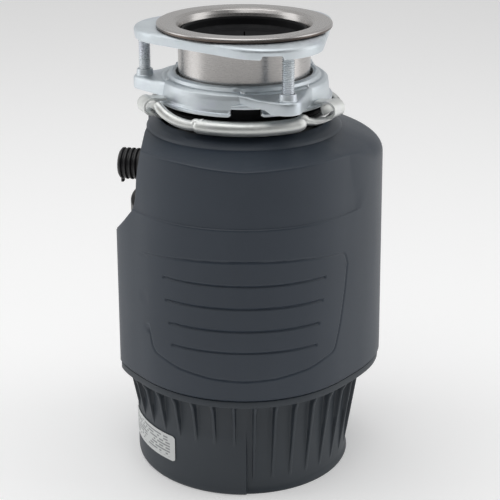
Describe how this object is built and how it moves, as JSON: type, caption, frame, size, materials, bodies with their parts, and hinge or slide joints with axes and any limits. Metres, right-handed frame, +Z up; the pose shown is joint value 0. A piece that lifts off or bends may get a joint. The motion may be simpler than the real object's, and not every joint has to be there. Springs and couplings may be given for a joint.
{
  "type": "kitchen garbage disposal",
  "caption": "Under-sink food waste disposer with flanged sink mount, turning mounting ring, grind chamber, motor, grey moulded shell and finned base.",
  "frame": {"origin": "middle of the footprint box, on the surface that the base stands on", "axes": "+Z up along the rotor, -Y the front with the engraved panel, +X the right-hand wing"},
  "size_m": [0.1822, 0.1756, 0.308],
  "materials": {
    "shell": "slate-grey moulded shell, satin",
    "base": "slate-grey moulded base, matte",
    "black_plastic": "black moulded plastic, satin",
    "black_rubber": "black rubber",
    "stainless": "drawn and brushed stainless steel",
    "zinc": "bluish zinc plate over pressed steel",
    "pale_zinc": "pale zinc plate over steel",
    "cast_alloy": "as-cast aluminium alloy",
    "steel": "turned steel",
    "laminations": "stacked electrical-steel laminations",
    "copper": "varnished copper winding",
    "bronze": "sintered bronze",
    "fibre": "dark fibre washer",
    "foam": "dark moulded foam",
    "label": "pale printed sticker",
    "red_button": "red moulded button",
    "green_screw": "green ground screw"
  },
  "bodies": {
    "housing": {"sink_flange": "stainless", "mounting_ring": "zinc", "snap_ring": "steel", "mounting_gasket": "black_rubber", "outer_shell": "shell", "base_cover": "base", "rating_label": "label", "container_body": "black_plastic", "dishwasher_inlet": "black_plastic", "inlet_plug": "black_plastic", "chamber_gasket": "black_rubber", "shredder_ring": "stainless", "upper_end_bell": "cast_alloy", "container_screw_1": "zinc", "container_screw_2": "zinc", "container_screw_3": "zinc", "container_screw_4": "zinc", "sound_insulation": "foam", "shaft_seal": "black_rubber", "upper_bearing": "bronze", "lower_bearing": "bronze", "stator_core": "laminations", "winding_lower": "copper", "winding_upper": "copper", "through_bolt_1": "zinc", "through_bolt_2": "zinc", "through_bolt_3": "zinc", "through_bolt_4": "zinc", "lower_end_frame": "cast_alloy", "start_switch": "black_plastic", "overload_protector": "black_plastic", "terminal_cover": "zinc", "terminal_screw": "zinc", "ground_screw": "green_screw", "base_screw_1": "zinc", "base_screw_2": "zinc", "base_screw_3": "zinc"},
    "rotor": {"rotor_shaft": "steel", "rotor_core": "laminations", "rotor_end_ring_upper": "cast_alloy", "rotor_end_ring_lower": "cast_alloy", "thrust_washer": "steel", "seal_slinger": "black_rubber", "shredder_plate": "stainless", "plate_nut": "stainless", "lug_rivet_1": "steel", "lug_rivet_2": "steel"},
    "start_actuator": {"switch_actuator": "black_plastic"},
    "lug_one": {"swivel_lug_1": "stainless"},
    "lug_two": {"swivel_lug_2": "stainless"},
    "turn_ring": {"lower_mounting_ring": "pale_zinc"},
    "clamp_plate": {"backup_flange": "zinc", "fibre_gasket": "fibre"},
    "screw_one": {"mounting_screw_1": "zinc"},
    "screw_two": {"mounting_screw_2": "zinc"},
    "screw_three": {"mounting_screw_3": "zinc"},
    "baffle": {"splash_baffle": "black_rubber"},
    "reset": {"reset_button": "red_button"}
  },
  "joints": [
    {"name": "rotor_spin", "type": "hinge", "parent": "housing", "child": "rotor", "pos_m": [-0.00449, -0.00225, 0.027], "axis": [0, 0, 1], "continuous": true},
    {"name": "start_switch_actuation", "type": "slide", "parent": "rotor", "child": "start_actuator", "axis": [0, 0, 1], "range_m": [0, 0.0022], "stiffness_N_per_m": 150},
    {"name": "lug_one_swivel", "type": "hinge", "parent": "rotor", "child": "lug_one", "pos_m": [0.0375, -0.00225, 0.181], "axis": [0, 0, 1], "continuous": true},
    {"name": "lug_two_swivel", "type": "hinge", "parent": "rotor", "child": "lug_two", "pos_m": [-0.0465, -0.00225, 0.181], "axis": [0, 0, 1], "continuous": true},
    {"name": "mounting_ring_turn", "type": "hinge", "parent": "housing", "child": "turn_ring", "pos_m": [-0.00449, -0.00225, 0.252], "axis": [0, 0, 1], "range_deg": [0, 65]},
    {"name": "clamp_travel", "type": "slide", "parent": "housing", "child": "clamp_plate", "axis": [0, 0, 1], "range_m": [-0.007, 0]},
    {"name": "screw_one_travel", "type": "slide", "parent": "housing", "child": "screw_one", "axis": [0, 0, 1], "range_m": [-0.007, 0]},
    {"name": "screw_two_travel", "type": "slide", "parent": "housing", "child": "screw_two", "axis": [0, 0, 1], "range_m": [-0.007, 0]},
    {"name": "screw_three_travel", "type": "slide", "parent": "housing", "child": "screw_three", "axis": [0, 0, 1], "range_m": [-0.007, 0]},
    {"name": "baffle_lift", "type": "slide", "parent": "housing", "child": "baffle", "axis": [0, 0, 1], "range_m": [0, 0.045]},
    {"name": "reset_button_trip", "type": "slide", "parent": "housing", "child": "reset", "axis": [0, 0, -1], "range_m": [0, 0.003]}
  ],
  "couplings": [
    {"joint": "screw_one_travel", "follows": "clamp_travel", "ratio": 1},
    {"joint": "screw_two_travel", "follows": "clamp_travel", "ratio": 1},
    {"joint": "screw_three_travel", "follows": "clamp_travel", "ratio": 1}
  ]
}
